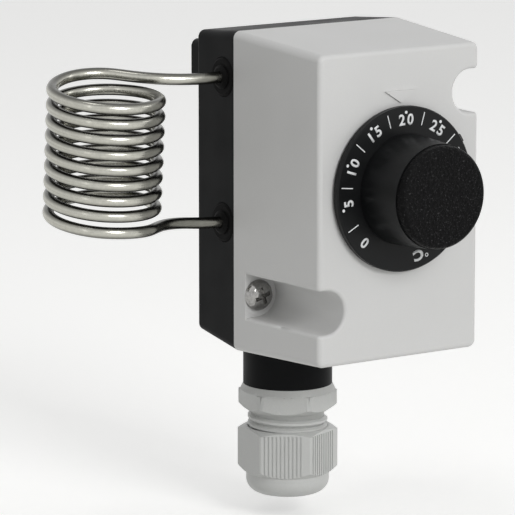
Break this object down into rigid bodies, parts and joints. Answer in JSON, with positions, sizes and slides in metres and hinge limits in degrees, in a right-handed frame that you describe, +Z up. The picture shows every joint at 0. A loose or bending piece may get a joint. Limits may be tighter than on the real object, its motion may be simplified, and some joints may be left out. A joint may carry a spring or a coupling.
{
  "type": "capillary thermostat",
  "caption": "Wall-mounted room thermostat: black base, light grey cover, setpoint knob with numbered disc, coiled sensing tube on rubber grommets and a clamping cable gland.",
  "frame": {"origin": "in the wall plane on which the rear feet stand, midway between the two wall fixing holes and on the housing's vertical centre plane", "axes": "+X to the right seen from the front, +Y into the wall (the front looks along -Y), +Z up"},
  "size_m": [0.1077, 0.0821, 0.1294],
  "materials": {
    "black_housing": "fine matt moulded",
    "grey_cover": "fine matt moulded",
    "gland_grey": "smooth moulded",
    "black_knob": "smooth moulded",
    "textured_cap": "spark-eroded texture",
    "black_rubber": "dull",
    "nickel_tube": "bright nickel plated",
    "zinc_steel": "zinc plated",
    "sheet_steel": "zinc plated sheet",
    "spring_steel": "blank spring strip",
    "brass_parts": "turned",
    "copper_capillary": "drawn copper",
    "capsule_metal": "pressed stainless",
    "switch_plastic": "thermoset moulding",
    "plunger_plastic": "smooth acetal"
  },
  "bodies": {
    "housing": {"base_housing": "black_housing", "cover": "grey_cover", "cover_screws": "zinc_steel", "housing_gasket": "black_rubber", "spindle_seal": "black_rubber", "sensor_coil": "nickel_tube", "upper_grommet": "black_rubber", "lower_grommet": "black_rubber", "coil_end_cap": "nickel_tube", "capillary_joint": "brass_parts", "capillary_tube": "copper_capillary", "diaphragm_capsule": "capsule_metal", "chassis": "sheet_steel", "chassis_screws": "zinc_steel", "spindle_bracket": "sheet_steel", "bracket_rivets": "zinc_steel", "spindle_bush": "brass_parts", "lever_pin": "zinc_steel", "switch_case": "switch_plastic", "switch_screws": "zinc_steel", "terminal_clamps": "brass_parts", "terminal_screws": "zinc_steel", "earth_clamp": "brass_parts", "earth_screw": "zinc_steel", "gland_body": "gland_grey", "gland_o_ring": "black_rubber"},
    "setpoint_knob": {"dial_knob": "black_knob", "knob_cap": "textured_cap", "limit_ring": "black_knob", "setpoint_spindle": "brass_parts", "spindle_clip": "spring_steel"},
    "range_slide": {"range_nut": "brass_parts"},
    "lever": {"transfer_lever": "sheet_steel", "range_leaf": "spring_steel"},
    "push_pin": {"capsule_pin": "zinc_steel"},
    "plunger": {"switch_plunger": "plunger_plastic"},
    "cable_seal": {"gland_seal": "black_rubber"},
    "clamping_nut": {"gland_nut": "gland_grey"}
  },
  "joints": [
    {"name": "setpoint_turn", "type": "hinge", "parent": "housing", "child": "setpoint_knob", "pos_m": [0, -0.06, 0.0036], "axis": [0, 1, 0], "range_deg": [-135, 135]},
    {"name": "range_nut_travel", "type": "slide", "parent": "housing", "child": "range_slide", "axis": [0, 1, 0], "range_m": [-0.00038, 0.00038]},
    {"name": "lever_tilt", "type": "hinge", "parent": "housing", "child": "lever", "pos_m": [0, -0.02335, 0.022], "axis": [-1, 0, 0], "range_deg": [-1, 2], "stiffness_Nm_per_rad": 0.3},
    {"name": "capsule_push", "type": "slide", "parent": "housing", "child": "push_pin", "axis": [0, -1, 0], "range_m": [-0.00034, 0.00066]},
    {"name": "plunger_travel", "type": "slide", "parent": "housing", "child": "plunger", "axis": [0, -1, 0], "range_m": [-0.00065, 0.00127]},
    {"name": "gland_seal_travel", "type": "slide", "parent": "housing", "child": "cable_seal", "axis": [0, 0, 1], "range_m": [-0.00601, 0.00301]},
    {"name": "gland_nut_turn", "type": "hinge", "parent": "cable_seal", "child": "clamping_nut", "pos_m": [-0.0054, -0.0193, -0.077], "axis": [0, 0, 1], "range_deg": [-1080, 540]}
  ],
  "couplings": [
    {"joint": "range_nut_travel", "follows": "setpoint_turn", "m_per_rad": 0.00015915},
    {"joint": "capsule_push", "follows": "lever_tilt", "m_per_rad": 0.0184},
    {"joint": "plunger_travel", "follows": "lever_tilt", "m_per_rad": 0.036},
    {"joint": "gland_seal_travel", "follows": "gland_nut_turn", "m_per_rad": 0.00031831}
  ]
}
